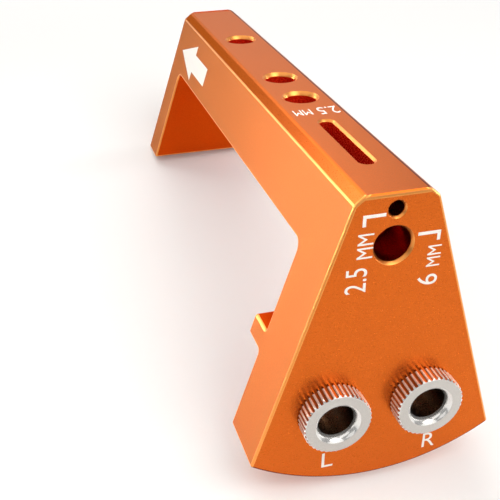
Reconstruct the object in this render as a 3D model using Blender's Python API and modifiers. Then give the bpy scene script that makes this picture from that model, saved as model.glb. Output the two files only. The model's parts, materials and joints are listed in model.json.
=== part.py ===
"""Drawer slide drilling jig.

A machined aluminium body with a thick drilling plate at the near end, a bar that
lies over the drawer and a shorter leg at the far end. Two knurled steel drill
bushings are pressed into the plate. The jig is modelled square to its own axes
(X across, Y from the plate to the leg, Z up) and then set down on its two feet,
so that it leans the way it does on a bench.
"""

import math

import bmesh
import bpy
from mathutils import Vector

COLLECTION_NAME = "drawer_slide_drilling_jig"

# Body, seen from the side (metres)
BODY_LENGTH = 0.1110
BODY_HEIGHT = 0.0550
PLATE_THICKNESS = 0.0120
BAR_DEPTH = 0.0128
LEG_THICKNESS = 0.0080
LEG_FOOT_HEIGHT = 0.0205
RIB_UNDERSIDE_HEIGHT = 0.0218
RIB_THICKNESS = 0.0037
RIB_REACH = 0.0059
BAR_FILLET = 0.0018
RIB_FILLET = 0.0008

# Body, seen from the front
TOP_FLAT_WIDTH = 0.0104
TOP_CHAMFER_ACROSS = 0.0017
TOP_CHAMFER_DOWN = 0.0014
FOOT_WIDTH = 0.0444
FOOT_ARC_RADIUS = 0.0400
FOOT_CORNER_RADIUS = 0.0010
EDGE_BREAK = 0.0004

# Drilled holes and the slot
DRILL_DIAMETER = 0.0060
PILOT_DIAMETER = 0.0025
RIM_BREAK = 0.0004
PILOT_RIM_BREAK = 0.0002
TOP_HOLE_PLACES = (0.0430, 0.0551, 0.0837)
SLOT_START = 0.0121
SLOT_END = 0.0293
FRONT_HOLE_WALL = 0.0010
DRILL_POINT_ANGLE = math.radians(118)
FRONT_DRILL_DROP = 0.0088
FRONT_PILOT_DROP = 0.00275

# Drill bushings
BUSHING_PITCH = 0.0165
BUSHING_HEIGHT = 0.0157
HEAD_DIAMETER = 0.0119
HEAD_LENGTH = 0.0030
HEAD_RIM_BREAK = 0.0003
SHANK_DIAMETER = 0.0090
SHANK_RECESS = 0.0005
BORE_DIAMETER = 0.00635
MOUTH_RADIUS = 0.0008
SHANK_END_BREAK = 0.0003
KNURL_COUNT = 40
KNURL_DEPTH = 0.00035
RIDGE_SHARE = 0.34
FLUTE_SHARE = 0.42

# Clearances and mesh fineness
SEAT_GAP = 0.0003
OVERCUT = 0.0005
BREAKOUT = 0.0006
ARC_STEPS = 24
FILLET_STEPS = 6
HOLE_STEPS = 40
BUSHING_STEPS = 60
MOUTH_STEPS = 4
MERGE = 0.00001

ORANGE = (0.80, 0.23, 0.045, 1.0)
STEEL = (0.72, 0.71, 0.69, 1.0)


def clear_scene():
    """Empties the scene that the script is run in."""
    for item in list(bpy.data.objects):
        bpy.data.objects.remove(item, do_unlink=True)


def new_collection(name):
    """Adds a collection to the scene."""
    group = bpy.data.collections.new(name)
    bpy.context.scene.collection.children.link(group)
    return group


def metal(name, colour, roughness):
    """A plain metal finish."""
    finish = bpy.data.materials.new(name)
    finish.use_nodes = True
    shader = finish.node_tree.nodes["Principled BSDF"]
    shader.inputs["Base Color"].default_value = colour
    shader.inputs["Metallic"].default_value = 1.0
    shader.inputs["Roughness"].default_value = roughness
    return finish


def filleted(corners):
    """Outline points from (a, b, radius) corners; a corner with a radius becomes an arc."""
    points = []
    for index, (a, b, radius) in enumerate(corners):
        if radius == 0:
            points.append((a, b))
            continue
        before = corners[index - 1]
        after = corners[(index + 1) % len(corners)]
        way_in = math.atan2(b - before[1], a - before[0])
        way_out = math.atan2(after[1] - b, after[0] - a)
        turn = math.remainder(way_out - way_in, math.tau)
        setback = radius * math.tan(abs(turn) / 2)
        start = (a - setback * math.cos(way_in), b - setback * math.sin(way_in))
        side = math.copysign(1, turn)
        centre = (start[0] - side * radius * math.sin(way_in), start[1] + side * radius * math.cos(way_in))
        for step in range(FILLET_STEPS + 1):
            heading = way_in + turn * step / FILLET_STEPS
            points.append((
                centre[0] + side * radius * math.sin(heading),
                centre[1] - side * radius * math.cos(heading),
            ))
    return points


def prism(name, outline, depth, group):
    """A flat outline in local XY, extruded to a depth centred on local Z, as a closed mesh."""
    curve = bpy.data.curves.new(name, "CURVE")
    curve.dimensions = "2D"
    curve.fill_mode = "BOTH"
    curve.extrude = depth / 2
    spline = curve.splines.new("POLY")
    spline.points.add(len(outline) - 1)
    for point, (a, b) in zip(spline.points, outline):
        point.co = (a, b, 0.0, 1.0)
    spline.use_cyclic_u = True
    drawn = bpy.data.objects.new(name + "_outline", curve)
    group.objects.link(drawn)
    evaluated = drawn.evaluated_get(bpy.context.evaluated_depsgraph_get())
    mesh = bpy.data.meshes.new_from_object(evaluated)
    mesh.name = name
    welded = bmesh.new()
    welded.from_mesh(mesh)
    bmesh.ops.remove_doubles(welded, verts=welded.verts, dist=MERGE)
    bmesh.ops.recalc_face_normals(welded, faces=welded.faces)
    welded.to_mesh(mesh)
    welded.free()
    solid = bpy.data.objects.new(name, mesh)
    group.objects.link(solid)
    solid.matrix_world = drawn.matrix_world
    bpy.data.objects.remove(drawn, do_unlink=True)
    return solid


def turned(name, profile, steps, group, closed=False):
    """A profile of (radius, height) points, outer side top to bottom, turned about local Z."""
    mesh = bpy.data.meshes.new(name)
    edges = [(i, i + 1) for i in range(len(profile) - 1)]
    if closed:
        edges.append((len(profile) - 1, 0))
    mesh.from_pydata([(radius, 0.0, height) for radius, height in profile], edges, [])
    solid = bpy.data.objects.new(name, mesh)
    group.objects.link(solid)
    lathe = solid.modifiers.new("Turn", "SCREW")
    lathe.axis = "Z"
    lathe.angle = math.tau
    lathe.steps = steps
    lathe.render_steps = steps
    lathe.use_merge_vertices = True
    lathe.merge_threshold = MERGE
    lathe.use_normal_calculate = False
    lathe.use_smooth_shade = True
    return solid


def as_cutter(solid):
    """Shows a solid as a wire guide only."""
    solid.hide_render = True
    solid.display_type = "WIRE"
    return solid


def boolean(target, other, operation):
    """Cuts or intersects a target with another solid."""
    modifier = target.modifiers.new(other.name, "BOOLEAN")
    modifier.object = other
    modifier.operation = operation
    modifier.solver = "EXACT"


def body_side_outline():
    """Outline of the body in (Y, Z), with fillets in its inside corners."""
    under_bar = BODY_HEIGHT - BAR_DEPTH
    rib_top = RIB_UNDERSIDE_HEIGHT + RIB_THICKNESS
    rib_tip = PLATE_THICKNESS + RIB_REACH
    leg_inside = BODY_LENGTH - LEG_THICKNESS
    return filleted([
        (0.0, 0.0, 0),
        (PLATE_THICKNESS, 0.0, 0),
        (PLATE_THICKNESS, RIB_UNDERSIDE_HEIGHT, RIB_FILLET),
        (rib_tip, RIB_UNDERSIDE_HEIGHT, 0),
        (rib_tip, rib_top, 0),
        (PLATE_THICKNESS, rib_top, RIB_FILLET),
        (PLATE_THICKNESS, under_bar, BAR_FILLET),
        (leg_inside, under_bar, BAR_FILLET),
        (leg_inside, LEG_FOOT_HEIGHT, 0),
        (BODY_LENGTH, LEG_FOOT_HEIGHT, 0),
        (BODY_LENGTH, BODY_HEIGHT, 0),
        (0.0, BODY_HEIGHT, 0),
    ])


def body_front_outline():
    """Outline of the body in (X, Z): chamfered top, flared sides, an arc below with round ends."""
    half_top = TOP_FLAT_WIDTH / 2
    half_shoulder = half_top + TOP_CHAMFER_ACROSS
    shoulder = BODY_HEIGHT - TOP_CHAMFER_DOWN
    half_angle = math.asin(FOOT_WIDTH / 2 / FOOT_ARC_RADIUS)
    arc = []
    for step in range(ARC_STEPS + 1):
        angle = half_angle * (2 * step / ARC_STEPS - 1)
        across, up = FOOT_ARC_RADIUS * math.sin(angle), FOOT_ARC_RADIUS * (1 - math.cos(angle))
        arc.append((across, up, FOOT_CORNER_RADIUS if step in (0, ARC_STEPS) else 0))
    return filleted(arc + [
        (half_shoulder, shoulder, 0),
        (half_top, BODY_HEIGHT, 0),
        (-half_top, BODY_HEIGHT, 0),
        (-half_shoulder, shoulder, 0),
    ])


def drill_point(diameter):
    """Height of a drill's cone point."""
    return diameter / 2 / math.tan(DRILL_POINT_ANGLE / 2)


def hole_cutter(name, diameter, depth, rim, group, blind=False):
    """A drill from local Z = 0 down to a depth, countersunk at its mouth and at any exit."""
    radius = diameter / 2
    flare = radius + rim + OVERCUT
    profile = [(0.0, OVERCUT), (flare, OVERCUT), (radius, -rim)]
    if blind:
        profile += [(radius, -depth), (0.0, -depth - drill_point(diameter))]
    else:
        profile += [(radius, rim - depth), (flare, -depth - OVERCUT), (0.0, -depth - OVERCUT)]
    return as_cutter(turned(name, profile, HOLE_STEPS, group))


def slot_cutter(group):
    """The pilot slot's cutter: a round-ended face extruded up in steps, flared at the mouth."""
    radius = PILOT_DIAMETER / 2
    floor = -BAR_DEPTH - BREAKOUT
    cut = bmesh.new()
    corners = []
    for centre, first in ((SLOT_END, 0.0), (SLOT_START, math.pi)):
        for step in range(HOLE_STEPS // 2 + 1):
            angle = first + math.pi * step / (HOLE_STEPS // 2)
            place = (radius * math.cos(angle), centre + radius * math.sin(angle), floor)
            corners.append(cut.verts.new(place))
    top = cut.faces.new(corners)
    for level, (reach, height) in enumerate(((radius, -RIM_BREAK), (radius + RIM_BREAK + OVERCUT, OVERCUT))):
        grown = bmesh.ops.extrude_face_region(cut, geom=[top], use_keep_orig=level == 0)["geom"]
        if level > 0 and top.is_valid:
            cut.faces.remove(top)
        top = next(item for item in grown if isinstance(item, bmesh.types.BMFace))
        for corner in top.verts:
            spine = Vector((0.0, min(max(corner.co.y, SLOT_START), SLOT_END), height))
            outward = Vector((corner.co.x, corner.co.y - spine.y, 0.0)).normalized()
            corner.co = spine + outward * reach
    bmesh.ops.recalc_face_normals(cut, faces=cut.faces)
    mesh = bpy.data.meshes.new("pilot_slot")
    cut.to_mesh(mesh)
    cut.free()
    slot = bpy.data.objects.new("pilot_slot", mesh)
    group.objects.link(slot)
    return as_cutter(slot)


def cut_top_features(body, cutters):
    """The drill holes and the pilot slot that run down through the bar."""
    for number, place in enumerate(TOP_HOLE_PLACES, start=1):
        hole = hole_cutter(f"top_hole_{number}", DRILL_DIAMETER, BAR_DEPTH, RIM_BREAK, cutters)
        hole.location = (0.0, place, BODY_HEIGHT)
        boolean(body, hole, "DIFFERENCE")
    slot = slot_cutter(cutters)
    slot.location = (0.0, 0.0, BODY_HEIGHT)
    boolean(body, slot, "DIFFERENCE")


def cut_front_holes(body, cutters):
    """The two blind holes in the plate's front face, whose points stop short of the slot."""
    deepest = SLOT_START - PILOT_DIAMETER / 2 - FRONT_HOLE_WALL
    for name, diameter, drop, rim in (
        ("front_drill_hole", DRILL_DIAMETER, FRONT_DRILL_DROP, RIM_BREAK),
        ("front_pilot_hole", PILOT_DIAMETER, FRONT_PILOT_DROP, PILOT_RIM_BREAK),
    ):
        depth = deepest - drill_point(diameter)
        hole = hole_cutter(name, diameter, depth, rim, cutters, blind=True)
        hole.location = (0.0, 0.0, BODY_HEIGHT - drop)
        hole.rotation_euler = (math.pi / 2, 0.0, 0.0)
        boolean(body, hole, "DIFFERENCE")


def cut_bushing_seats(body, cutters):
    """The two holes through the plate that the bushings are pressed into."""
    seat_diameter = SHANK_DIAMETER + 2 * SEAT_GAP
    for name, side in (("left", -1), ("right", 1)):
        seat = hole_cutter(f"{name}_bushing_seat", seat_diameter, PLATE_THICKNESS, RIM_BREAK, cutters)
        seat.location = (side * BUSHING_PITCH / 2, 0.0, BUSHING_HEIGHT)
        seat.rotation_euler = (math.pi / 2, 0.0, 0.0)
        boolean(body, seat, "DIFFERENCE")


def make_body(parts, cutters, finish):
    """The one-piece body: side outline crossed with front outline, edges broken, then drilled."""
    body = prism("jig_body", body_side_outline(), FOOT_WIDTH + 2 * OVERCUT, parts)
    stand_up = bmesh.new()
    stand_up.from_mesh(body.data)
    for corner in stand_up.verts:
        y, z, x = corner.co
        corner.co = (x, y, z)
    stand_up.to_mesh(body.data)
    stand_up.free()
    front = as_cutter(prism("body_front_outline", body_front_outline(), BODY_LENGTH + 2 * OVERCUT, cutters))
    front.location = (0.0, BODY_LENGTH / 2, 0.0)
    front.rotation_euler = (math.pi / 2, 0.0, 0.0)
    boolean(body, front, "INTERSECT")
    edges = body.modifiers.new("Edge break", "BEVEL")
    edges.width = EDGE_BREAK
    edges.segments = 1
    edges.limit_method = "ANGLE"
    edges.angle_limit = math.radians(25)
    edges.use_clamp_overlap = False
    cut_top_features(body, cutters)
    cut_front_holes(body, cutters)
    cut_bushing_seats(body, cutters)
    body.data.materials.append(finish)
    return body


def knurl_outline():
    """Straight-knurled outline: ridges of the head's diameter with flutes between them."""
    crest = HEAD_DIAMETER / 2
    root = crest - KNURL_DEPTH
    pitch = math.tau / KNURL_COUNT
    points = []
    for tooth in range(KNURL_COUNT):
        middle = tooth * pitch
        ridge = [(crest, -RIDGE_SHARE), (crest, RIDGE_SHARE)]
        flute = [(root, 1 - FLUTE_SHARE), (root, 1 + FLUTE_SHARE)]
        for radius, share in ridge + flute:
            angle = middle + share * pitch / 2
            points.append((radius * math.cos(angle), radius * math.sin(angle)))
    return points


def bushing_profile():
    """Ring section of a headed bushing; local Z = 0 is the plate's front face."""
    crest = HEAD_DIAMETER / 2
    bore = BORE_DIAMETER / 2
    shank = SHANK_DIAMETER / 2
    face = SEAT_GAP + HEAD_LENGTH
    tail = -(PLATE_THICKNESS - SHANK_RECESS)
    beyond = crest + KNURL_DEPTH
    rim_drop = HEAD_RIM_BREAK + KNURL_DEPTH
    mouth = []
    for step in range(MOUTH_STEPS + 1):
        angle = math.pi / 2 * step / MOUTH_STEPS
        inward = MOUTH_RADIUS * (1 - math.sin(angle))
        mouth.append((bore + inward, face - MOUTH_RADIUS * (1 - math.cos(angle))))
    return [
        (crest - HEAD_RIM_BREAK, face),
        (beyond, face - rim_drop),
        (beyond, SEAT_GAP),
        (shank, SEAT_GAP),
        (shank, tail + SHANK_END_BREAK),
        (shank - SHANK_END_BREAK, tail),
        (bore, tail),
    ] + mouth[::-1]


def make_bushings(parts, cutters, finish):
    """The left and right drill bushings, each turned and then knurled on its head."""
    knurl_length = 2 * (HEAD_LENGTH + PLATE_THICKNESS + OVERCUT)
    knurl = as_cutter(prism("head_knurl", knurl_outline(), knurl_length, cutters))
    bushings = []
    for name, side in (("left", -1), ("right", 1)):
        place = (side * BUSHING_PITCH / 2, 0.0, BUSHING_HEIGHT)
        bushing = turned(f"{name}_drill_bushing", bushing_profile(), BUSHING_STEPS, parts, closed=True)
        bushing.location = place
        bushing.rotation_euler = (math.pi / 2, 0.0, 0.0)
        die = knurl.copy()
        die.name = f"{name}_head_knurl"
        die.location = place
        die.rotation_euler = (math.pi / 2, 0.0, 0.0)
        cutters.objects.link(die)
        boolean(bushing, die, "INTERSECT")
        bushing.data.materials.append(finish)
        bushings.append(bushing)
    bpy.data.objects.remove(knurl, do_unlink=True)
    return bushings


def set_down(pieces, guides, parts):
    """Leans the jig onto the plate's heel and the leg's foot, and centres it on the origin."""
    stand = bpy.data.objects.new("jig_axes", None)
    parts.objects.link(stand)
    stand.rotation_euler.x = -math.atan2(LEG_FOOT_HEIGHT, BODY_LENGTH - PLATE_THICKNESS)
    for item in pieces + guides:
        item.parent = stand
    bpy.context.view_layer.update()
    depsgraph = bpy.context.evaluated_depsgraph_get()
    corners = []
    for piece in pieces:
        shape = piece.evaluated_get(depsgraph)
        corners += [shape.matrix_world @ corner.co for corner in shape.data.vertices]
    along = [corner.y for corner in corners]
    stand.location.y = -(min(along) + max(along)) / 2
    stand.location.z = -min(corner.z for corner in corners)
    bpy.context.view_layer.update()


def main():
    clear_scene()
    parts = new_collection(COLLECTION_NAME)
    cutters = new_collection("cutters")
    anodised = metal("orange_anodised_aluminium", ORANGE, 0.38)
    steel = metal("turned_steel", STEEL, 0.25)
    body = make_body(parts, cutters, anodised)
    bushings = make_bushings(parts, cutters, steel)
    set_down([body] + bushings, list(cutters.objects), parts)


main()
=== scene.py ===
# %% [markdown]
# # Drawer slide drilling jig
#
# The jig shows where the screw holes of a drawer slide go, and keeps them square. It is one
# block of aluminium, milled, blasted with fine beads, cut bright along its edges and dyed
# orange. Two knurled steel bushings are pressed into its drilling plate, so that the soft
# metal round those two holes doesn't wear.
#
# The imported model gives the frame. The new, finer pieces could be modelled as the jig
# stands, but it leans, and every cut would be a slanted one. So they are modelled square
# to the jig's own axes, where every number is easy to read, and lean onto its feet later.

import json
import math

import bmesh
import bpy
from mathutils import Euler, Matrix, Vector

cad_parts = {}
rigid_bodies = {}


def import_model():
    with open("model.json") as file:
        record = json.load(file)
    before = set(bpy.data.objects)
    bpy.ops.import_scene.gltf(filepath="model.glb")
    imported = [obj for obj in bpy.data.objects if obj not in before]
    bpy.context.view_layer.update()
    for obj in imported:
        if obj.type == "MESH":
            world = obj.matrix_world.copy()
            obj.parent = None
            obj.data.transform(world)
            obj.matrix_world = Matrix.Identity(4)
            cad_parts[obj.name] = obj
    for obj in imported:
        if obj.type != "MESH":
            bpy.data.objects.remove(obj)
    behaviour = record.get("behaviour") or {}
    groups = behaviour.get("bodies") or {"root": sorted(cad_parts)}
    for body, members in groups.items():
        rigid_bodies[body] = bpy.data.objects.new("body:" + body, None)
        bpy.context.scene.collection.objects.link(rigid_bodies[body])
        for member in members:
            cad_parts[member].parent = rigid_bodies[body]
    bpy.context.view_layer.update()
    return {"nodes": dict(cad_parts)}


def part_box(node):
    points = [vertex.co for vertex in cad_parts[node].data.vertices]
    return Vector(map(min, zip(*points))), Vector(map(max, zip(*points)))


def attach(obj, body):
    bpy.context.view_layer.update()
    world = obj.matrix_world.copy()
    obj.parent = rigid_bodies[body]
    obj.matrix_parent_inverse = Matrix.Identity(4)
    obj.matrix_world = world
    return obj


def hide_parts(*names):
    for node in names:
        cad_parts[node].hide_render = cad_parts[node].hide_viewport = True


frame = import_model()
print("nodes:", sorted(frame["nodes"]))

# %% [markdown]
# The driving sizes come first, in millimetres. A point's Y runs from the plate's front
# face to the far leg, Z goes up from the lowest point of the plate's arc, and X goes to
# the right seen from the front. The shapes below follow from these sizes and from a few
# small ones, which are named where they are first needed.

# %% Driving sizes
MM = 0.001
LENGTH, HEIGHT = 111.0, 55.0
PLATE, BAR, LEG = 12.0, 12.8, 8.0  # how thick each limb is
LEG_FOOT = 20.5  # how high the leg ends above the plate's lowest point
RIB_LOW, RIB_HIGH, RIB_TIP = 21.8, 25.5, 17.9
HALF_TOP, HALF_SHOULDER, SHOULDER = 5.2, 6.9, 53.6
HALF_FOOT, FOOT_ARC = 22.2, 40.0  # half the width at the foot, and the arc's radius
EDGE_BREAK, SHOULDER_EDGE, TOP_EDGE, FOOT_EDGE = 0.42, 0.22, 0.32, 1.2
BAR_FILLET, RIB_FILLET = 1.8, 0.8
DRILL, PILOT = 3.0, 1.25  # radii of the 6 mm and 2.5 mm holes
TOP_HOLES = (43.0, 55.1, 83.7)
SLOT_START, SLOT_END = 12.1, 29.3
FRONT_DRILL_Z, FRONT_PILOT_Z = 46.2, 52.25
BUSHING_X, BUSHING_Z = 8.25, 15.7
CREST, SHANK, BORE = 5.95, 4.5, 3.175  # the bushing's three radii
HEAD_FACE = 3.3  # how far the bushing's head stands out
NEAR, TOUCH = 0.01, 0.001  # how close counts as at a place, and as one point
print("jig:", LENGTH, "x", 2 * HALF_FOOT, "x", HEIGHT, "mm")

# %% [markdown]
# Operators act on whatever is selected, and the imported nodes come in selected, so they are
# let go first. The helpers then keep each step to one piece: they select it alone and open
# it for editing. By hand an edge would be picked with the mouse. Here it is picked by where
# it is, so that the same edge is found when a size changes.


# %% Helpers to select and to edit
def hold(piece):
    """Makes one piece the only selected one."""
    bpy.ops.object.select_all(action="DESELECT")
    piece.select_set(True)
    bpy.context.view_layer.objects.active = piece


def edit(piece, elements="FACE"):
    """Opens a piece for editing, with nothing selected in it."""
    hold(piece)
    bpy.ops.object.mode_set(mode="EDIT")
    bpy.ops.mesh.select_mode(type=elements)
    bpy.ops.mesh.select_all(action="DESELECT")


def close():
    """Goes back to object mode."""
    bpy.ops.object.mode_set(mode="OBJECT")


def pick_edges(piece, wanted):
    """Adds the edges whose two ends pass a test, given in millimetres."""
    shape = bmesh.from_edit_mesh(piece.data)
    for edge in shape.edges:
        if all(wanted(vert.co / MM) for vert in edge.verts):
            edge.select_set(True)
    bmesh.update_edit_mesh(piece.data)


def pick_verts(piece, wanted):
    """Adds the vertices that pass a test, given in millimetres."""
    shape = bmesh.from_edit_mesh(piece.data)
    for vert in shape.verts:
        if wanted(vert.co / MM):
            vert.select_set(True)
    shape.select_flush_mode()
    bmesh.update_edit_mesh(piece.data)


bpy.ops.object.select_all(action="DESELECT")
print("selected pieces:", len(bpy.context.selected_objects))

# %% [markdown]
# ## Finishes
#
# The look of dyed, blasted aluminium comes from three things: a coloured metal, so that
# every reflection is orange, a thin clear layer that adds a pale sheen at flat angles, and
# a fine even grain left by the beads. An image of grain would need to be fitted to each
# face. A noise in the piece's own space fits every face by itself, and as a node group it
# serves the steel too, with other values.


# %% Grain node group
def socket(tree, name, kind, value=None, out=False):
    """Adds a named socket to a node group."""
    made = tree.interface.new_socket(name=name, in_out="OUTPUT" if out else "INPUT", socket_type=kind)
    if value is not None:
        made.default_value = value
    return made


def add(tree, kind, values=(), **settings):
    """Adds a node, sets its properties, and sets the values of the sockets that are given."""
    node = tree.nodes.new(kind)
    for name, value in settings.items():
        setattr(node, name, value)
    for name, value in dict(values).items():
        node.inputs[name].default_value = value
    return node


def wire(tree, *wires):
    """Joins nodes, each wire being (node, its output, next node, its input)."""
    for giver, output, taker, into in wires:
        tree.links.new(giver.outputs[output], taker.inputs[into])


def build_grain():
    """Fine grain: a bump normal, and a mask that varies from 0 to 1."""
    tree = bpy.data.node_groups.new("blasted grain", "ShaderNodeTree")
    socket(tree, "Grain Size", "NodeSocketFloat", 0.2 * MM)
    socket(tree, "Depth", "NodeSocketFloat", 0.1)
    socket(tree, "Mask", "NodeSocketFloat", out=True)
    socket(tree, "Normal", "NodeSocketVector", out=True)
    inside = add(tree, "NodeGroupInput")
    outside = add(tree, "NodeGroupOutput")
    place = add(tree, "ShaderNodeTexCoord")
    scale = add(tree, "ShaderNodeMath", {0: 1.0}, operation="DIVIDE")
    noise = add(tree, "ShaderNodeTexNoise", {"Detail": 3.0, "Roughness": 0.6})
    spread = add(tree, "ShaderNodeMapRange", {"From Min": 0.3, "From Max": 0.7})
    bump = add(tree, "ShaderNodeBump", {"Distance": 0.02 * MM})
    wire(
        tree,
        (inside, "Grain Size", scale, 1), (scale, 0, noise, "Scale"),
        (place, "Object", noise, "Vector"), (noise, "Fac", spread, "Value"),
        (spread, "Result", bump, "Height"), (inside, "Depth", bump, "Strength"),
        (spread, "Result", outside, "Mask"), (bump, "Normal", outside, "Normal"),
    )
    return tree


GRAIN = build_grain()
print("grain sockets:", [item.name for item in GRAIN.interface.items_tree])

# %% [markdown]
# Each finish is a material with its own Principled shader, because only colours, masks and
# normals come out of the group. The grain's mask moves the colour between two near shades
# and the roughness between two near values. With one flat value for each, the metal would
# look like plastic.

# %% A finish with grain
BEAD, CUTTER = 0.24 * MM, 0.2 * MM  # the grain that beads and a cutter leave
COAT_ROUGHNESS = 0.42


def grained(name, dark, light, rough, grain, depth, coat=0.0, rim=(1, 1, 1), metallic=1.0):
    """A finish whose colour and roughness vary with the grain; rim tints it at flat angles."""
    made = bpy.data.materials.new(name)
    made.use_nodes = True
    tree = made.node_tree
    shader = tree.nodes["Principled BSDF"]
    shader.inputs["Metallic"].default_value = metallic
    shader.inputs["Coat Weight"].default_value = coat
    shader.inputs["Coat Roughness"].default_value = COAT_ROUGHNESS
    shader.inputs["Specular Tint"].default_value = (*rim, 1.0)
    grains = add(tree, "ShaderNodeGroup", {"Grain Size": grain, "Depth": depth}, node_tree=GRAIN)
    tint = add(tree, "ShaderNodeMix", {"A": (*dark, 1.0), "B": (*light, 1.0)}, data_type="RGBA")
    matt = add(tree, "ShaderNodeMapRange", {"To Min": rough[0], "To Max": rough[1]})
    wire(
        tree,
        (grains, "Mask", tint, "Factor"), (tint, "Result", shader, "Base Color"),
        (grains, "Mask", matt, "Value"), (matt, "Result", shader, "Roughness"),
        (grains, "Normal", shader, "Normal"),
    )
    return made


print("grain:", round(BEAD / MM, 2), "mm from beads,", round(CUTTER / MM, 2), "mm from a cutter")

# %% [markdown]
# The dye looks different on each kind of surface. Blasted faces are matt. The top has the
# most sheen, and the sides the least gloss; the sides' colour is also less red and paler,
# which is painted light. The drilling plate is faced smoother, so that it mirrors the
# bushings softly. The chamfers and the inside show the cutter's even face, and their colour
# is darker, the inside a deeper red: painted shade. The edge bands are lighter and golden,
# a painted highlight, the two edges that turn from the light are near black, a painted
# shade, and the holes are dark red, a painted shade too. One material with masks could hold
# all of this, but a material for each surface is easier to read and to change.

# %% Orange finishes of the body
DYED_RIM = (1.0, 0.78, 0.60)
BLASTED = grained(
    "orange_blasted", (0.62, 0.122, 0.007), (0.72, 0.148, 0.013), (0.34, 0.42), BEAD, 0.32,
    coat=0.20, rim=DYED_RIM,
)
SHEENED = grained(
    "orange_blasted_outside", (0.60, 0.122, 0.011), (0.70, 0.148, 0.017), (0.34, 0.42), BEAD, 0.32,
    coat=0.42, rim=DYED_RIM,
)
# The sides' copy of the orange is less red and paler: painted light for how the side lamp falls on them.
# Their rougher gloss is real.
SIDES_PAINTED_LIGHT = grained(
    "orange_sides_painted_light", (0.42, 0.119, 0.028), (0.51, 0.146, 0.041), (0.50, 0.58), BEAD, 0.46,
    coat=0.22, rim=(1.0, 0.68, 0.40),
)
PLATED = grained(
    "orange_faced_plate", (0.63, 0.119, 0.008), (0.73, 0.144, 0.013), (0.26, 0.31), BEAD, 0.08,
    coat=0.16, rim=DYED_RIM,
)
# The inside's deeper red is painted shade.
INSIDE_SHADE = grained(
    "orange_inside_painted_shade", (0.62, 0.070, 0.002), (0.72, 0.088, 0.004), (0.34, 0.42), BEAD, 0.28,
    coat=0.02, rim=(1.0, 0.6, 0.35),
)
# The chamfers' copy of the orange is darker: painted shade. Their smoother roughness is the cutter's.
MILLED_SHADE = grained(
    "orange_chamfer_painted_shade", (0.53, 0.105, 0.020), (0.63, 0.129, 0.030), (0.27, 0.31), BEAD, 0.24,
    coat=0.03, rim=(1.0, 0.60, 0.38),
)
# A lighter, golden copy of the orange for edge bands and hole rims: a painted highlight.
EDGE_HIGHLIGHT = grained(
    "orange_edge_painted_highlight", (0.88, 0.325, 0.065), (0.93, 0.365, 0.078), (0.34, 0.38), CUTTER, 0.03,
    coat=0.4,
)
# Near black red for the edges that turn from the light: a painted shade.
EDGE_SHADE = grained(
    "orange_edge_painted_shade", (0.20, 0.022, 0.004), (0.24, 0.028, 0.006), (0.40, 0.46), CUTTER, 0.03,
)
# Dark red inside the front holes and the seats: a painted shade.
DRILLED_SHADE = grained(
    "orange_drilled_painted_shade", (0.42, 0.022, 0.004), (0.48, 0.030, 0.005), (0.26, 0.32), CUTTER, 0.02,
)
# Deep red inside the top holes and the slot: a painted shade, with the orange walls' reflections painted
# in.
REAMED_SHADE = grained(
    "orange_reamed_painted_shade", (0.66, 0.020, 0.004), (0.72, 0.028, 0.005), (0.24, 0.30), CUTTER, 0.03,
    metallic=0.5,
)
BODY_FINISHES = (BLASTED, EDGE_HIGHLIGHT, DRILLED_SHADE, REAMED_SHADE, MILLED_SHADE, SHEENED, INSIDE_SHADE, PLATED, EDGE_SHADE, SIDES_PAINTED_LIGHT)
print("body finishes:", [material.name for material in BODY_FINISHES])

# %% [markdown]
# ## The body
#
# The real body starts as a bar, and so does this one. It could also be a flat outline,
# extruded, but then the foot's arc would have to be drawn. A round bar as thick as that arc
# brings it along: it is sawn down both flared sides, across the top and along the two top
# chamfers. Bisect does the sawing, and its fill closes each cut.

# %% Saw the bar stock to the front outline
STOCK_SIDES = 192
bpy.ops.object.select_all(action="DESELECT")
bpy.ops.mesh.primitive_cylinder_add(
    vertices=STOCK_SIDES, radius=FOOT_ARC * MM, depth=LENGTH * MM,
    location=(0, LENGTH / 2 * MM, FOOT_ARC * MM), rotation=(math.pi / 2, 0, 0),
)
bpy.ops.object.transform_apply()
body = bpy.context.object
body.name = "blasted_body"
foot_corner = FOOT_ARC - math.sqrt(FOOT_ARC ** 2 - HALF_FOOT ** 2)
flare = Vector((SHOULDER - foot_corner, 0, HALF_FOOT - HALF_SHOULDER)).normalized()
chamfer = Vector((HEIGHT - SHOULDER, 0, HALF_SHOULDER - HALF_TOP)).normalized()
cuts = [(Vector((0, 0, HEIGHT)), Vector((0, 0, 1)))]
for side in (-1, 1):
    for x, z, way in ((HALF_FOOT, foot_corner, flare), (HALF_TOP, HEIGHT, chamfer)):
        cuts.append((Vector((side * x, 0, z)), Vector((side * way.x, 0, way.z))))
edit(body)
for place, way in cuts:
    bpy.ops.mesh.select_all(action="SELECT")
    bpy.ops.mesh.bisect(plane_co=place * MM, plane_no=way, use_fill=True, clear_outer=True)
close()
print("sawn bar:", [round(side / MM, 2) for side in body.dimensions], "mm")

# %% [markdown]
# The sawn faces are all different in finish, and now is the time to tell them apart,
# because each is still one face with a normal of its own. Later cuts keep what is set
# here. Every tool that cuts the body carries the same list of finishes, so that the faces
# it leaves can have any of them.


# %% Give the sawn faces their finishes
def dress(piece):
    """Gives a piece every finish of the body, to choose from."""
    for material in BODY_FINISHES:
        piece.data.materials.append(material)


def colour(piece, finish_used, wanted=lambda face: True):
    """Gives a finish to the faces of a piece that pass a test, and counts them."""
    faces = [face for face in piece.data.polygons if wanted(face)]
    for face in faces:
        face.material_index = BODY_FINISHES.index(finish_used)
    return len(faces)


SQUARE_ON = 0.9  # how much of a normal has to point one way
dress(body)
colour(body, SHEENED, lambda face: face.normal.z > SQUARE_ON)
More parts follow.
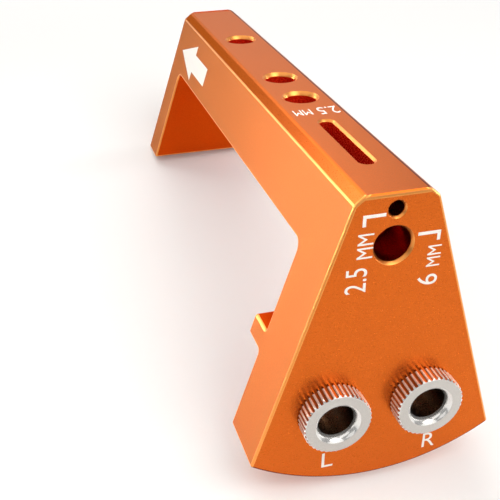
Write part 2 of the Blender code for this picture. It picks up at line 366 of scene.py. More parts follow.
# The sides take the copy with painted light.
colour(body, SIDES_PAINTED_LIGHT, lambda face: abs(face.normal.x) > SQUARE_ON)
colour(body, PLATED, lambda face: face.normal.y < -SQUARE_ON)
# The chamfers take the darker copy, a painted shade.
chamfers = colour(body, MILLED_SHADE, lambda face: (
    abs(abs(face.normal.x) - chamfer.x) < NEAR and abs(face.normal.z - chamfer.z) < NEAR
))
print("milled chamfers:", chamfers)

# %% [markdown]
# The bar's six long edges are softened while they still run from end to end. The
# shoulders stay crisp, and take the golden colour, a painted highlight. The top pair is
# rounder, and the foot's corners are rounder still. One Bevel over everything would give
# them all the same radius, so each pair is picked and bevelled by itself. The top's right
# edge turns away from the light, so it is coloured near black, a painted shade.

# %% Soften the long edges
EDGE_STEPS = 4
# The shoulder bands take the golden painted highlight.
for radius, x, z, finish_used in (
    (SHOULDER_EDGE, HALF_SHOULDER, SHOULDER, EDGE_HIGHLIGHT), (TOP_EDGE, HALF_TOP, HEIGHT, BLASTED),
    (FOOT_EDGE, HALF_FOOT, foot_corner, BLASTED),
):
    edit(body, "EDGE")
    pick_edges(body, lambda point: abs(abs(point.x) - x) < NEAR and abs(point.z - z) < NEAR)
    bpy.ops.mesh.bevel(
        offset=radius * MM, segments=EDGE_STEPS, affect="EDGES", clamp_overlap=False,
        material=BODY_FINISHES.index(finish_used),
    )
    close()
# The top's right edge band is near black, a painted shade.
colour(body, EDGE_SHADE, lambda face: (
    NEAR < face.normal.x < chamfer.x - NEAR and face.normal.z > chamfer.z
))
print("softened bar:", len(body.data.polygons), "faces")

# %% [markdown]
# Milling away the inside leaves the plate, the bar, the leg and the small rib on the
# plate's back. Those four could be modelled as blocks and joined, but then their edges
# would have to meet exactly. A cutter takes one bite instead: a block as large as the
# opening, with the rib's block taken out of it. A Boolean does both, and each tool is thrown
# away after its cut.


# %% Helpers to cut, and a cutter for the opening
def finish(piece, kind, **settings):
    """Adds a modifier with its settings and applies it."""
    hold(piece)
    modifier = piece.modifiers.new(kind.title(), kind)
    for name, value in settings.items():
        setattr(modifier, name, value)
    bpy.ops.object.modifier_apply(modifier=modifier.name)


def block(name, low, high):
    """A block between two corners, in millimetres."""
    middle = [(a + b) / 2 * MM for a, b in zip(low, high)]
    size = [(b - a) * MM for a, b in zip(low, high)]
    bpy.ops.object.select_all(action="DESELECT")
    bpy.ops.mesh.primitive_cube_add(size=1.0, location=middle, scale=size)
    bpy.ops.object.transform_apply()
    made = bpy.context.object
    made.name = name
    return made


def cut(piece, tool):
    """Cuts one piece with another, which is then thrown away."""
    finish(piece, "BOOLEAN", object=tool, operation="DIFFERENCE", solver="EXACT")
    bpy.data.objects.remove(tool, do_unlink=True)


WIDE, BELOW, PAST = 30.0, 5.0, 1.0  # how far the cutters reach past the body
UNDER_BAR, LEG_INSIDE = HEIGHT - BAR, LENGTH - LEG
opening = block("opening", (-WIDE, PLATE, -BELOW), (WIDE, LEG_INSIDE, UNDER_BAR))
dress(opening)
cut(opening, block("rib", (-WIDE - PAST, 0, RIB_LOW), (WIDE + PAST, RIB_TIP, RIB_HIGH)))
print("cutter for the opening:", len(opening.data.polygons), "faces")

# %% [markdown]
# An end mill is round, so it leaves fillets in the corners under the bar and at the rib.
# They could be added to the body later, but bevels on the cutter leave them in the same
# cut. Bevelling its four corners is enough. A second block cuts the leg short.

# %% Mill the opening and the short leg
for radius, steps, corners in (
    (BAR_FILLET, 8, ((PLATE, UNDER_BAR), (LEG_INSIDE, UNDER_BAR))),
    (RIB_FILLET, 5, ((PLATE, RIB_LOW), (PLATE, RIB_HIGH))),
):
    edit(opening, "EDGE")
    for y, z in corners:
        line = Vector((0, y, z))
        pick_edges(opening, lambda point: (point - line).yz.length < NEAR)
    bpy.ops.mesh.bevel(offset=radius * MM, segments=steps, affect="EDGES", clamp_overlap=False)
    close()
# The opening's faces take the deeper red painted shade.
colour(opening, INSIDE_SHADE)
cut(body, opening)
cut(body, block("leg step", (-WIDE, LEG_INSIDE - PAST, -BELOW), (WIDE, LENGTH + BELOW, LEG_FOOT)))
edit(body)
bpy.ops.mesh.select_all(action="SELECT")
bpy.ops.mesh.dissolve_limited(angle_limit=math.radians(0.3))
close()
print("milled body:", len(body.data.polygons), "faces")

# %% [markdown]
# On the real jig the sharp edges are cut back by a narrow band that catches the light. A
# bright line painted alone would not catch light from every side, so a Bevel with three
# segments gives the band its round shape. The band also takes a lighter, golden colour, a
# painted highlight. Along the underside of the foot's arc the band is in the shade, and its
# colour there is near black, a painted shade.

# %% Break the edges
ARC_TOP = foot_corner + 1  # below this height, a face that looks down is on the arc
LOOKS_DOWN = -0.2
# The bevel's bands take the golden painted highlight.
bright = BODY_FINISHES.index(EDGE_HIGHLIGHT)
finish(
    body, "BEVEL", width=EDGE_BREAK * MM, segments=3, limit_method="ANGLE",
    angle_limit=math.radians(25), use_clamp_overlap=False, material=bright,
)
# The arc's lower bands are near black, a painted shade.
shaded_edges = colour(body, EDGE_SHADE, lambda face: (
    face.material_index == bright and face.normal.z < LOOKS_DOWN and face.center.z / MM < ARC_TOP
))
print("edges broken:", len(body.data.polygons), "faces,", shaded_edges, "of them in painted shade")

# %% [markdown]
# A turned shape is an outline spun about an axis. A cylinder could be cut and bevelled into
# it, ring by ring, but an outline shows the whole shape at once. It is drawn point by
# point, by extruding one vertex, and Spin does the rest. The same helper makes the cutters
# for the holes, and later the bushings.

# %% A helper for turned shapes
ROUND = 96  # steps round a hole


def start_point(first):
    """A single vertex at a place in millimetres, open for editing."""
    bpy.ops.object.select_all(action="DESELECT")
    bpy.ops.mesh.primitive_plane_add(size=MM)
    made = bpy.context.object
    edit(made, "VERT")
    bpy.ops.mesh.select_all(action="SELECT")
    bpy.ops.mesh.merge(type="CENTER")
    bpy.ops.transform.translate(value=Vector(first) * MM)
    return made


def draw(points):
    """Extrudes the last vertex from point to point, in millimetres."""
    for last, point in zip(points, points[1:]):
        step = Vector([b - a for a, b in zip(last, point)]) * MM
        bpy.ops.mesh.extrude_region_move(TRANSFORM_OT_translate={"value": step})
    bpy.ops.mesh.select_all(action="SELECT")


def turned(name, outline, steps, ring=False):
    """Spins an outline of (radius, height) points, in millimetres, about Z."""
    path = [(radius, 0, height) for radius, height in (outline + outline[:1] if ring else outline)]
    made = start_point(path[0])
    made.name = name
    draw(path)
    bpy.ops.mesh.spin(steps=steps, angle=math.tau, center=(0, 0, 0), axis=(0, 0, 1))
    bpy.ops.mesh.select_all(action="SELECT")
    bpy.ops.mesh.remove_doubles(threshold=TOUCH * MM)
    bpy.ops.mesh.normals_make_consistent(inside=False)
    close()
    return made


print("one step round a hole:", round(math.tau * DRILL / ROUND, 2), "mm")

# %% [markdown]
# Each hole has a bright rim, which shows as a golden crescent on its far side. On the
# round holes it is deeper than it is wide. The rims could be bevelled once the holes are
# cut, but a bevel is as deep as it is wide. So the cutter for a hole flares at its mouth,
# and also at its exit when it goes right through. Its faces carry the colour of what they
# leave: the golden edge colour on the rims, a painted highlight, and dark red inside the
# drilled and reamed holes, a painted shade.

# %% A hole cutter with a flared rim
HOLE_CONE = math.radians(59)  # half the angle of the cone that ends a blind hole
TOP_RIM, SLOT_RIM = (0.5, 0.75), (0.4, 0.4)  # each rim's width and depth
FRONT_RIM, PILOT_RIM, SEAT_RIM = (0.42, 0.62), (0.3, 0.45), (0.3, 0.3)
RIM_CURVE = ((0, 0), (0.16, 0.11), (0.80, 0.72), (0.95, 0.90), (1, 1))
RIM_OVER = 0.2  # how far the flare goes on past the face, as a share of the rim


def lead_in(radius, rim, face, way):
    """A steep lead-in from a face to a bore, as outline points from the face on."""
    wide, deep = rim
    return [(radius + (1 - share) * wide, face + way * fall * deep) for share, fall in RIM_CURVE]


def hole_cutter(name, radius, depth, rim, blind=False, inside=DRILLED_SHADE):
    """A cutter for a hole down from Z = 0, with a rim of (width, depth) at its mouth."""
    flared = radius + rim[0] * (1 + RIM_OVER)
    over = RIM_OVER * rim[1]
    outline = [(0, PAST), (flared, PAST), (flared, over)] + lead_in(radius, rim, 0, -1)
    if blind:
        outline += [(radius, -depth), (0, -depth - radius / math.tan(HOLE_CONE))]
    else:
        outline += lead_in(radius, rim, -depth, 1)[::-1]
        outline += [(flared, -depth - over), (flared, -depth - PAST), (0, -depth - PAST)]
    made = turned(name, outline, ROUND)
    dress(made)
    corners = made.data.vertices
    # The rims take the golden painted highlight, the inside the dark red painted shade.
    colour(made, EDGE_HIGHLIGHT)
    colour(made, inside, lambda face: (
        max(corners[index].co.xy.length for index in face.vertices) / MM < radius + TOUCH
    ))
    return made


def place(piece, where, forward=False):
    """Moves a piece to a point in millimetres, and turns its Z axis to the front if asked."""
    piece.location = Vector(where) * MM
    if forward:
        piece.rotation_euler = Euler((math.pi / 2, 0, 0))
    hold(piece)
    bpy.ops.object.transform_apply()


print("top rim:", [(round(radius, 2), round(z, 2)) for radius, z in lead_in(DRILL, TOP_RIM, 0, -1)])

# %% [markdown]
# Three holes and a slot go down through the bar. A slot could be two holes and a block
# between them. It is simpler to take one round cutter, turn it by half a step so that no
# vertex lies on its middle line, and pull one half of it along.

# %% Cut the top holes and the slot
for y in TOP_HOLES:
    tool = hole_cutter("top cutter", DRILL, BAR, TOP_RIM, inside=REAMED_SHADE)
    place(tool, (0, y, HEIGHT))
    cut(body, tool)
slot = hole_cutter("slot cutter", PILOT, BAR, SLOT_RIM, inside=REAMED_SHADE)
hold(slot)
slot.rotation_euler.z = math.pi / ROUND
bpy.ops.object.transform_apply()
edit(slot, "VERT")
pick_verts(slot, lambda point: point.y > 0)
bpy.ops.transform.translate(value=(0, (SLOT_END - SLOT_START) * MM, 0))
close()
place(slot, (0, SLOT_START, HEIGHT))
cut(body, slot)
print("top holes and slot:", len(TOP_HOLES) + 1)

# %% [markdown]
# The plate's front has two blind holes, which end in a cone a millimetre before the slot,
# and two seats for the bushings, which go right through the plate. The same kind of cutter
# is turned to face the front.

# %% Cut the holes in the front
SLOT_WALL, SEAT_GAP = 1.0, 0.05
HOLE_END = SLOT_START - PILOT - SLOT_WALL


def facets(piece):
    """The number of triangles in a piece."""
    return sum(len(face.vertices) - 2 for face in piece.data.polygons)


for radius, z, rim in ((DRILL, FRONT_DRILL_Z, FRONT_RIM), (PILOT, FRONT_PILOT_Z, PILOT_RIM)):
    depth = HOLE_END - radius / math.tan(HOLE_CONE)
    tool = hole_cutter("front cutter", radius, depth, rim, blind=True)
    place(tool, (0, 0, z), forward=True)
    cut(body, tool)
for side in (-1, 1):
    tool = hole_cutter("seat cutter", SHANK + SEAT_GAP, PLATE, SEAT_RIM)
    place(tool, (side * BUSHING_X, 0, BUSHING_Z), forward=True)
    cut(body, tool)
print("drilled body:", facets(body), "triangles")

# %% [markdown]
# A machined face is flat to its edge. Plain smooth shading would make it look swollen, and
# flat shading would show every step of a round. Smooth shading with sharp corners left
# alone, and normals weighted by face area, keep the wide faces flat while the narrow bands
# blend into them.


# %% Shade a machined piece
def shade(piece, degrees):
    """Smooth shading that keeps corners sharper than an angle."""
    hold(piece)
    bpy.ops.object.shade_smooth_by_angle(angle=math.radians(degrees))
    finish(piece, "WEIGHTED_NORMAL", keep_sharp=True, weight=50, mode="FACE_AREA")


shade(body, degrees=32)
print("sharp edges of the body:", sum(edge.use_edge_sharp for edge in body.data.edges))

# %% [markdown]
# ## The bushings
#
# A bushing is turned from steel bar and hardened. Its front is faced with a fine even
# grain. Its mouth and edges are partly a plain pale colour, so that they read white, a
# painted highlight. Its ridges are pale, a painted highlight, the flutes between them are
# brown, a painted shade with a painted reflection of the orange plate, and its bore is
# dark, a painted shade. One plain metal would do for all, but a ridge would then only mirror
# the orange plate. So the ridges are half metal and half a plain pale colour.

# %% Steel finishes
# The mouth and edges are partly a plain pale colour, so that they read white: a painted highlight.
STEEL_HIGHLIGHT = grained(
    "steel_bright_painted_highlight", (0.80, 0.79, 0.77), (0.86, 0.85, 0.83), (0.15, 0.19), CUTTER, 0.02,
    metallic=0.75,
)
STEEL_FACE = grained(
    "steel_faced", (0.575, 0.55, 0.52), (0.655, 0.63, 0.60), (0.36, 0.42), CUTTER, 0.1,
)
# The bore and the head's underside are dark brown: a painted shade.
STEEL_SHADE = grained("steel_bore_painted_shade", (0.17, 0.11, 0.07), (0.21, 0.14, 0.09), (0.25, 0.32), CUTTER, 0.1)
# The ridges are half a plain pale colour, so that they look lit: a painted highlight.
STEEL_CREST_HIGHLIGHT = grained(
    "steel_ridges_painted_highlight", (0.94, 0.90, 0.84), (0.98, 0.94, 0.88), (0.30, 0.36), CUTTER, 0.03,
    metallic=0.5,
)
# The flutes are brown: a painted shade, with a painted reflection of the orange plate.
STEEL_FLUTE_SHADE = grained("steel_flutes_painted_shade", (0.46, 0.33, 0.27), (0.52, 0.38, 0.31), (0.20, 0.25), CUTTER, 0.03)
STEELS = (STEEL_HIGHLIGHT, STEEL_FACE, STEEL_SHADE, STEEL_CREST_HIGHLIGHT, STEEL_FLUTE_SHADE)
print("steel finishes:", [material.name for material in STEELS])

# %% [markdown]
# The turned outline has a shank, a head whose underside is broken back from the plate, a
# faced front and a rounded mouth. The head is then knurled with straight ridges. Forty
# small cuts would do it, but slowly. Here the ring is spun in 480 steps, twelve for each
# of the 40 ridges, and each step of the twelve is pressed in by its own depth.

# %% Turn and knurl one bushing
RIDGES = 40
KNURL = (0, 0, 0.02, 0.16, 0.26, 0.28, 0.28, 0.28, 0.28, 0.26, 0.16, 0.02)
PHASES = len(KNURL)
RIM_WIDE, RIM_HIGH, SHANK_BREAK, SHANK_SHORT = 0.32, 0.22, 0.3, 0.5
MOUTH, MOUTH_STEPS, MOUTH_LIP = 0.8, 10, math.radians(28)
SEAT, SEAT_BREAK = 0.02, 0.28
FACE_EDGE = CREST - RIM_WIDE
TAIL = -(PLATE - SHANK_SHORT)


def mouth_points():
    """A rounded mouth that starts with a crisp lip, as outline points from the bore up."""
    radius = MOUTH / (1 - math.sin(MOUTH_LIP))
    points = []
    for step in range(MOUTH_STEPS + 1):
        angle = math.pi / 2 + (MOUTH_LIP - math.pi / 2) * step / MOUTH_STEPS
        points.append((
            BORE + radius * (1 - math.sin(angle)),
            HEAD_FACE - radius * (math.cos(MOUTH_LIP) - math.cos(angle)),
        ))
    return points


def knurled_bushing(name):
    """A headed bushing with its axis on Z and the plate's front face at Z = 0."""
    outline = [
        (FACE_EDGE, HEAD_FACE), (CREST, HEAD_FACE - RIM_HIGH), (CREST, SEAT + SEAT_BREAK),
        (CREST - SEAT_BREAK, SEAT), (SHANK, SEAT),
        (SHANK, TAIL + SHANK_BREAK), (SHANK - SHANK_BREAK, TAIL), (BORE, TAIL),
    ] + mouth_points()
    made = turned(name, outline, RIDGES * PHASES, ring=True)
    edit(made, "VERT")
    for phase, depth in enumerate(KNURL):
        if depth == 0:
            continue
        bpy.ops.mesh.select_all(action="DESELECT")
        pick_verts(made, lambda point: (
            abs(point.xy.length - CREST) < TOUCH
            and round(math.degrees(math.atan2(point.y, point.x)) * PHASES * RIDGES / 360) % PHASES == phase
        ))
        shrink = 1 - depth / CREST
        bpy.ops.transform.resize(value=(shrink, shrink, 1), center_override=(0, 0, 0))
        bpy.ops.mesh.select_all(action="DESELECT")
        pick_verts(made, lambda point: (
            abs(point.z - HEAD_FACE + RIM_HIGH) < TOUCH and abs(point.xy.length - CREST + depth) < TOUCH
        ))
        bpy.ops.transform.translate(value=(0, 0, RIM_HIGH * depth / RIM_WIDE * MM))
    close()
    return made


bore_start = -mouth_points()[0][1]
print("mouth:", round(HEAD_FACE + bore_start, 2), "mm deep")

# %% [markdown]
# The jig has two of them, left and right. Each is turned by itself, so that each has its
# own mesh, and set into its seat. The steel finishes follow the distance from the axis
# and the way a face looks: the bore and the underside of the head, which only the plate
# sees, are coloured dark brown, a painted shade.

# %% Set both bushings and finish their faces
RIDGE_LAND, BORE_SLACK, HEAD_CLEAR = 0.1, 0.05, 0.5  # reach past the crest, the bore, the shank
FRONT_ON, TURNED_BACK, EDGE_ON = 0.99, 0.3, 0.1  # how far a face looks along the axis


def steel_of(face, axis):
    """The steel finish for a face of a bushing."""
    middle = face.center / MM - axis
    reach = math.hypot(middle.x, middle.z)
    if face.normal.y < -FRONT_ON and reach < FACE_EDGE:
        return STEEL_FACE
    # The bore and the head's underside take the dark painted shade.
    if reach < BORE + BORE_SLACK and middle.y > bore_start:
        return STEEL_SHADE
    if reach > SHANK and face.normal.y > TURNED_BACK:
        return STEEL_SHADE
    # Ridges take the pale painted highlight, flutes the brown painted shade.
    if reach > SHANK + HEAD_CLEAR and abs(face.normal.y) < EDGE_ON:
        return STEEL_CREST_HIGHLIGHT if reach > CREST - RIDGE_LAND else STEEL_FLUTE_SHADE
    # Everything else, the mouth and the edges, takes the partly pale painted highlight.
    return STEEL_HIGHLIGHT


bushings = []
for name, side in (("left", -1), ("right", 1)):
    axis = Vector((side * BUSHING_X, 0, BUSHING_Z))
    bushing = knurled_bushing(f"{name}_knurled_bushing")
    place(bushing, axis, forward=True)
    for material in STEELS:
        bushing.data.materials.append(material)
    for face in bushing.data.polygons:
        face.material_index = STEELS.index(steel_of(face, axis))
    shade(bushing, degrees=30)
    bushings.append(bushing)
print("bushings:", facets(bushings[0]), "triangles each")

# %% [markdown]
# ## The markings
#
# The sizes, the two letters and the arrow are printed in white. They could be painted by a
# mask in the body's material, but a mask has soft edges close up. So each mark is a very
# thin solid that stands two hundredths of a millimetre proud, as ink does. It is made flat
# and laid on its face of the jig by a matrix.

# %% White paint and a helper for flat marks
PAINT = grained(
    "white_marking", (0.96, 0.91, 0.85), (0.99, 0.95, 0.90), (0.50, 0.60), CUTTER, 0.1, metallic=0.0,
)
INK_LOW, INK_HIGH = 0.004, 0.02
FRONT = Matrix(((1, 0, 0), (0, 0, -1), (0, 1, 0))).to_4x4()
FRONT_UP = Matrix(((0, -1, 0), (0, 0, -1), (1, 0, 0))).to_4x4()
TOP_BACK = Matrix.Translation((0, 0, HEIGHT * MM)) @ Matrix(((-1, 0, 0), (0, -1, 0), (0, 0, 1))).to_4x4()
SIDE = Matrix.Translation(Vector((-HALF_SHOULDER, 0, SHOULDER)) * MM) @ Matrix((
    (0, flare.z, -flare.x), (1, 0, 0), (0, flare.x, flare.z),
)).to_4x4()


def ink(name, piece, face):
    """Gives a flat mark its thickness and lays it on a face of the jig."""
    piece.name = name
    edit(piece, "FACE")
    bpy.ops.mesh.select_all(action="SELECT")
    bpy.ops.mesh.remove_doubles(threshold=TOUCH * MM)
    bpy.ops.mesh.extrude_region_move(TRANSFORM_OT_translate={"value": (0, 0, (INK_HIGH - INK_LOW) * MM)})
    bpy.ops.mesh.select_all(action="SELECT")
    bpy.ops.mesh.normals_make_consistent(inside=False)
    close()
    piece.data.materials.clear()
    piece.data.materials.append(PAINT)
    piece.matrix_world = face @ Matrix.Translation((0, 0, INK_LOW * MM))
    hold(piece)
    bpy.ops.object.transform_apply()
    return piece


print("ink:", round(INK_HIGH - INK_LOW, 3), "mm thick")

# %% [markdown]
# Words are drawn with Blender's own plain font, turned into a mesh, and fitted between two
# corners, because the printed letters are a little wider or narrower than the font's. The
# sizes read upwards on the front and from the back on the top.


# %% Print the letters and the sizes
def word(name, text, low, high, face):
    """Plain lettering fitted between two corners of a face, in millimetres."""
    bpy.ops.object.select_all(action="DESELECT")
    bpy.ops.object.text_add()
    piece = bpy.context.object
    piece.data.body = text
    piece.data.resolution_u = 6
    bpy.ops.object.convert(target="MESH")
    corners = [vert.co for vert in piece.data.vertices]
    start = Vector([min(corner[axis] for corner in corners) for axis in range(2)])
    size = Vector([max(corner[axis] for corner in corners) for axis in range(2)]) - start
    scale = [(high[axis] - low[axis]) * MM / size[axis] for axis in range(2)]
    piece.scale = (scale[0], scale[1], 1)
    piece.location = (low[0] * MM - start.x * scale[0], low[1] * MM - start.y * scale[1], 0)
    hold(piece)
    bpy.ops.object.transform_apply()
    return ink(name, piece, face)


marks = [
    word("mark_left", "L", (-9.4, 3.5), (-7.35, 6.7), FRONT),
    word("mark_right", "R", (9.6, 3.5), (12.0, 6.7), FRONT),
    word("mark_pilot_size", "2.5", (38.6, 4.0), (43.0, 7.5), FRONT_UP),
    word("mark_pilot_unit", "MM", (44.6, 3.4), (48.8, 5.95), FRONT_UP),
    word("mark_drill_size", "6", (38.2, -8.0), (40.1, -4.6), FRONT_UP),
    word("mark_drill_unit", "MM", (41.5, -8.05), (45.2, -5.8), FRONT_UP),
    word("mark_slot_size", "2.5", (-4.35, -36.7), (-0.5, -33.2), TOP_BACK),
    word("mark_slot_unit", "MM", (0.75, -36.3), (4.0, -33.6), TOP_BACK),
]
print("words:", len(marks))

# %% [markdown]
# The arrow on the side and the two leader lines, which tie a size to its hole, have
# straight edges only. They are outlines, drawn with the same point-by-point helper as the
# turned shapes, and filled.

# %% Print the leaders and the arrow
STROKE = 0.55
ARROW_START, ARROW_NECK, ARROW_TIP = 82.0, 93.3, 105.2
ARROW_Z, HALF_STEM, HALF_HEAD = 6.5, 2.05, 4.15


def flat_mark(name, outline, face):
    """A flat mark drawn as an outline, in millimetres."""
    points = [(x, y, 0) for x, y in outline]
    piece = start_point(points[0])
    draw(points + points[:1])
    bpy.ops.mesh.remove_doubles(threshold=TOUCH * MM)
    bpy.ops.mesh.edge_face_add()
    close()
    return ink(name, piece, face)


def leader(name, x0, x1, z, drop):
    """A line across from a hole, with its end turned down."""
    inner = x1 - math.copysign(STROKE, x1)
    return flat_mark(name, [
        (x0, z), (x1, z), (x1, z - drop), (inner, z - drop), (inner, z - STROKE), (x0, z - STROKE),
    ], FRONT)


marks.append(leader("mark_pilot_leader", -1.75, -5.4, 51.9, 1.9))
marks.append(leader("mark_drill_leader", 3.85, 7.6, 47.8, 1.7))
marks.append(flat_mark("mark_arrow", [
    (ARROW_START, -ARROW_Z - HALF_STEM), (ARROW_NECK, -ARROW_Z - HALF_STEM),
    (ARROW_NECK, -ARROW_Z - HALF_HEAD), (ARROW_TIP, -ARROW_Z), (ARROW_NECK, -ARROW_Z + HALF_HEAD),
    (ARROW_NECK, -ARROW_Z + HALF_STEM), (ARROW_START, -ARROW_Z + HALF_STEM),
], SIDE))
print("marks:", len(marks))

# %% [markdown]
# ## Standing on its feet
#
# The leg is shorter than the plate, so the jig leans: it stands on the plate's heel and
# the leg's foot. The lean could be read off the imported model, but it follows from two
# sizes that are known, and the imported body's box then says where the jig ends up.

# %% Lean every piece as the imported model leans
LEAN = math.atan2(LEG_FOOT, LENGTH - PLATE)
turn = Matrix.Rotation(-LEAN, 4, "X")
corners = [turn @ vert.co for vert in body.data.vertices]
low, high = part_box("jig_body")
along = [corner.y for corner in corners]
shift = Vector((0, (low.y + high.y - min(along) - max(along)) / 2, low.z - min(c.z for c in corners)))
STAND = Matrix.Translation(shift) @ turn
pieces = [body] + bushings + marks
for piece in pieces:
    piece.matrix_world = STAND
    hold(piece)
    bpy.ops.object.transform_apply()
print("lean:", round(math.degrees(LEAN), 2), "degrees, shift", [round(v / MM, 3) for v in shift], "mm")

# %% [markdown]
# The jig has no moving part, so every piece rides on its one body. The new body and
# bushings take the place of the imported ones, which are hidden, and the marks are extra and
# go with the body they are on.

# %% Tie the pieces to the frame
for piece in pieces:
    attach(piece, "root")
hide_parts("jig_body")
for piece, node in zip(bushings, ("left_drill_bushing", "right_drill_bushing")):
    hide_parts(node)
print("pieces:", len(pieces), "on root")

# %% [markdown]
# ## Camera
#
# The camera was worked out from the photograph in the jig's own axes, so it leans with
# the jig. Its small shift puts the jig off centre, as the photograph does.

# %% Camera
CAMERA_AT = Vector((-52.7, -100.6, 107.9))
HEADING, DOWNWARD, TWIST = math.radians(14.714), math.radians(31.017), math.radians(0.67)
LENS, SENSOR, SHIFT = 60.73, 36.0, 0.05
view = bpy.data.cameras.new("camera")
view.lens = LENS
view.sensor_width = SENSOR
view.shift_x = SHIFT
view.shift_y = SHIFT
view.clip_start = 5 * MM
camera = bpy.data.objects.new("camera", view)
bpy.context.scene.collection.objects.link(camera)
aim = Euler((math.pi / 2 - DOWNWARD, 0, -HEADING)).to_matrix().to_4x4() @ Matrix.Rotation(-TWIST, 4, "Z")
camera.matrix_world = STAND @ Matrix.Translation(CAMERA_AT * MM) @ aim
bpy.context.scene.camera = camera
print("camera at", [round(v, 4) for v in camera.matrix_world.translation])

# %% [markdown]
# ## Floor and light
#
# The jig was photographed on a white sweep, which has no horizon. A bright floor would
# clip and throw light back at the jig. So the floor is a pale matt paper in plain light,
# and for the camera it fades into pure white away from the jig. Close to the jig it stays
# paper, and keeps the shadow. Metal mirrors the white too, at a part of its strength.

# %% Floor
FLOOR_SIZE, PAPER = 8.0, (0.935, 0.93, 0.92, 1.0)
FADE_START, FADE_END, NEAR_SHARE = 0.08, 0.32, 0.12
FLOOR_MIRRORED = 0.6


def white_rays(tree, mirrored):
    """The rays, and how white the background is for what metal and glass mirror."""
    rays = add(tree, "ShaderNodeLightPath")
    either = add(tree, "ShaderNodeMath", operation="MAXIMUM")
    softer = add(tree, "ShaderNodeMath", {1: mirrored}, operation="MULTIPLY")
    wire(
        tree,
        (rays, "Is Glossy Ray", either, 0), (rays, "Is Transmission Ray", either, 1),
        (either, 0, softer, 0),
    )
    return rays, softer


bpy.ops.object.select_all(action="DESELECT")
bpy.ops.mesh.primitive_plane_add(size=FLOOR_SIZE, location=(0, 0, 0))
floor = bpy.context.object
floor.name = "floor"
paper = bpy.data.materials.new("white_paper")
paper.use_nodes = True
tree = paper.node_tree
matt = tree.nodes["Principled BSDF"]
matt.inputs["Base Color"].default_value = PAPER
matt.inputs["Roughness"].default_value = 0.9
matt.inputs["Specular IOR Level"].default_value = 0.0
glow = add(tree, "ShaderNodeEmission", {"Strength": 1.0})
rays, softer = white_rays(tree, FLOOR_MIRRORED)
seen = add(tree, "ShaderNodeMath", operation="MAXIMUM")
fade = add(
    tree, "ShaderNodeMapRange", {"From Min": FADE_START, "From Max": FADE_END, "To Min": NEAR_SHARE},
    interpolation_type="SMOOTHSTEP",
)
spot = add(tree, "ShaderNodeTexCoord")
away = add(tree, "ShaderNodeVectorMath", operation="LENGTH")
share = add(tree, "ShaderNodeMath", operation="MULTIPLY")
mixed = add(tree, "ShaderNodeMixShader")
wire(
    tree,
    (spot, "Object", away, 0), (away, "Value", fade, "Value"),
    (rays, "Is Camera Ray", seen, 0), (softer, 0, seen, 1),
    (fade, "Result", share, 0), (seen, 0, share, 1), (share, 0, mixed, "Fac"),
    (matt, "BSDF", mixed, 1), (glow, "Emission", mixed, 2),
    (mixed, "Shader", tree.nodes["Material Output"], "Surface"),
)
floor.data.materials.append(paper)
print("floor:", FLOOR_SIZE, "m, white from", FADE_END, "m")

# %% [markdown]
# A product is lit by large soft boxes. One big lamp would do for a matt thing, but metal
# shows what it mirrors, so each side gets a box of its own. The overhead pair throws the
# soft shadow, the front pair shows in the bushings' mouths and ridges, and the back pair
# lights the top and the chamfers. Three weak ones, narrowed by a grid, light the sides and
# spare the floor.

# %% Lamps
LAMP_WHITE = (1.0, 0.98, 0.95)


def softbox(name, at, size, power, aim=(0, -0.02, 0.03), spread=180):
    """An area lamp at a place, in metres, that faces the jig; a grid narrows its spread."""
    data = bpy.data.lights.new(name, "AREA")
    data.shape = "RECTANGLE"
    data.size, data.size_y = size
    data.energy = power
    data.spread = math.radians(spread)
    data.color = LAMP_WHITE
    lamp = bpy.data.objects.new(name, data)
    bpy.context.scene.collection.objects.link(lamp)
    lamp.visible_camera = False
    lamp.location = at
    lamp.rotation_euler = (Vector(at) - Vector(aim)).to_track_quat("Z", "Y").to_euler()
    return lamp


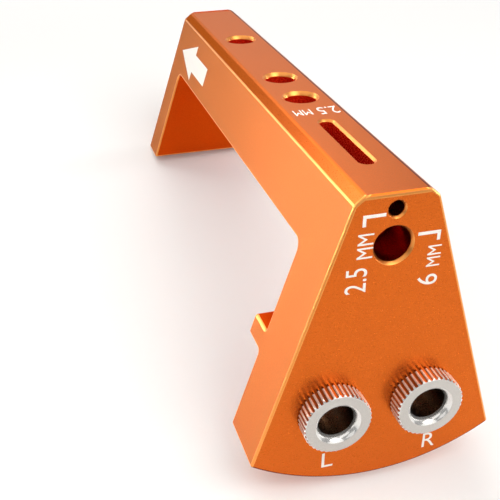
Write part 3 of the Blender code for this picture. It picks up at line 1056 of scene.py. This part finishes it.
lamps = [
    softbox("overhead", (0.204, -0.242, 0.48), (0.38, 0.38), 1.46),
    softbox("overhead left", (-0.23, -0.02, 0.48), (0.46, 0.46), 0.58),
    softbox("front", (0.17, -0.405, 0.345), (0.40, 0.40), 0.48),
    softbox("front left", (-0.27, -0.46, 0.26), (0.30, 0.30), 0.18),
    softbox("left", (-0.36, 0.06, 0.07), (0.16, 0.10), 0.033, (-0.012, -0.095, 0.04), 10),
    softbox("right", (0.36, 0.03, 0.09), (0.18, 0.12), 0.03, (0.012, 0.0, 0.04), 14),
    softbox("far left", (-0.22, 0.16, 0.05), (0.14, 0.08), 0.016, (-0.015, -0.06, 0.03), 28),
    softbox("back", (0.0, 0.38, 0.36), (0.40, 0.30), 1.16),
    softbox("back left", (-0.112, 0.157, 0.144), (0.068, 0.068), 0.0185, (-0.006, -0.05, 0.05), 85),
]
print("lamps:", len(lamps), "with", round(sum(lamp.data.energy for lamp in lamps), 2), "W in all")

# %% [markdown]
# The world fills in the rest. It lights the jig weakly from all sides, and to the camera
# it is plain white, so that no horizon shows where the floor ends. Metal mirrors a white
# wall only low down and behind the jig, where a studio's sweep would rise.

# %% World
SKY, WALL_MIRRORED = 0.26, 0.48
WALL_TOP, WALL_FULL = 0.35, 0.10  # how high a direction points where the wall ends and is full
WALL_START, WALL_BEHIND = -0.5, 0.1  # the same from front to back
WHITE = (1.0, 1.0, 1.0, 1.0)
world = bpy.data.worlds.new("studio")
bpy.context.scene.world = world
world.use_nodes = True
tree = world.node_tree
sky = tree.nodes["Background"]
sky.inputs["Color"].default_value = WHITE
sky.inputs["Strength"].default_value = SKY
white = add(tree, "ShaderNodeBackground", {"Color": WHITE})
way = add(tree, "ShaderNodeTexCoord")
parts = add(tree, "ShaderNodeSeparateXYZ")
low = add(
    tree, "ShaderNodeMapRange", {"From Min": WALL_TOP, "From Max": WALL_FULL},
    interpolation_type="SMOOTHSTEP",
)
behind = add(
    tree, "ShaderNodeMapRange", {"From Min": WALL_START, "From Max": WALL_BEHIND},
    interpolation_type="SMOOTHSTEP",
)
wall = add(tree, "ShaderNodeMath", operation="MULTIPLY")
rays, softer = white_rays(tree, WALL_MIRRORED)
seen = add(tree, "ShaderNodeMath", operation="MULTIPLY")
either = add(tree, "ShaderNodeMath", operation="MAXIMUM")
mixed = add(tree, "ShaderNodeMixShader")
wire(
    tree,
    (way, "Generated", parts, 0), (parts, "Z", low, "Value"), (parts, "Y", behind, "Value"),
    (low, "Result", wall, 0), (behind, "Result", wall, 1),
    (wall, 0, seen, 0), (softer, 0, seen, 1),
    (rays, "Is Camera Ray", either, 0), (seen, 0, either, 1), (either, 0, mixed, "Fac"),
    (sky, "Background", mixed, 1), (white, "Background", mixed, 2),
    (mixed, "Shader", tree.nodes["World Output"], "Surface"),
)
bpy.context.scene.view_settings.view_transform = "Standard"
print("world:", SKY, "of white as light, plain white to the camera")
